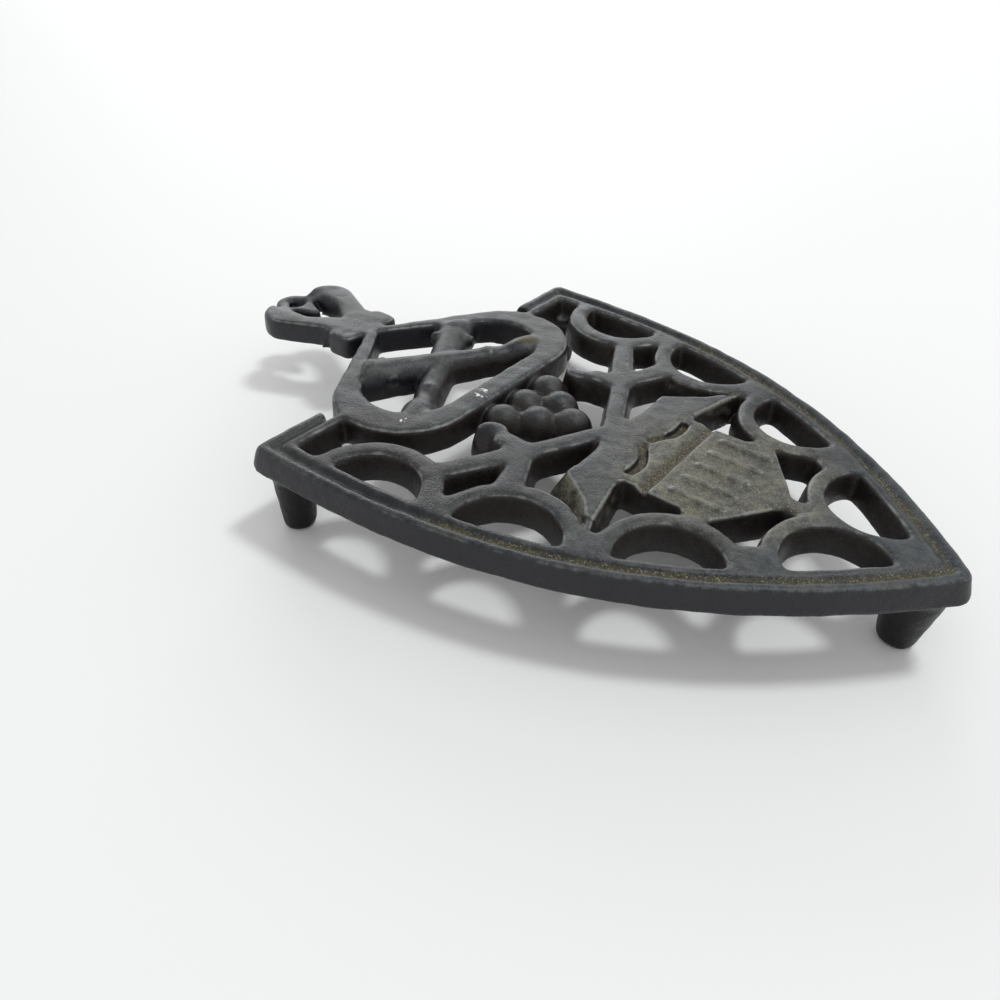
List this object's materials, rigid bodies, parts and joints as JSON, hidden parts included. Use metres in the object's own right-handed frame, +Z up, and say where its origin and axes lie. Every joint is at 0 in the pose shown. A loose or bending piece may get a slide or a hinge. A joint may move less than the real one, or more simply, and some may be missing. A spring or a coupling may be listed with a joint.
{
  "type": "trivet",
  "caption": "Openwork cast-iron trivet in a flatiron outline on short tapered feet, with crossed cannon in a handle loop, a ribbed shield, rim arches and a heart-shaped hanging handle.",
  "frame": {"origin": "on the table, under the middle of the overall length and width, at the height of the soles of the feet", "axes": "+X runs from the heart handle to the nose, +Y to the left side, +Z up from the table to the top of the openwork"},
  "size_m": [0.1678, 0.1012, 0.0201],
  "materials": {
    "iron": "worn blackened cast iron"
  },
  "bodies": {
    "root": {"arch_1_left": "iron", "arch_1_right": "iron", "arch_2_left": "iron", "arch_2_right": "iron", "arch_3_left": "iron", "arch_3_right": "iron", "arch_4_left": "iron", "arch_4_right": "iron", "base_bar_left": "iron", "base_bar_right": "iron", "cannon_over": "iron", "cannon_under": "iron", "cannonball_1": "iron", "cannonball_2": "iron", "cannonball_3": "iron", "cannonball_4": "iron", "cannonball_5": "iron", "cannonball_6": "iron", "handle_collar": "iron", "heart_lobe_left": "iron", "heart_lobe_right": "iron", "heel_foot_left": "iron", "heel_foot_right": "iron", "loop_arm_left": "iron", "loop_arm_right": "iron", "loop_front_bar": "iron", "nose_foot": "iron", "nose_plate": "iron", "rim_rail_left": "iron", "rim_rail_right": "iron", "scroll_left": "iron", "scroll_right": "iron", "shield_chief": "iron", "shield_field": "iron", "wing_left": "iron", "wing_right": "iron"}
  },
  "joints": []
}
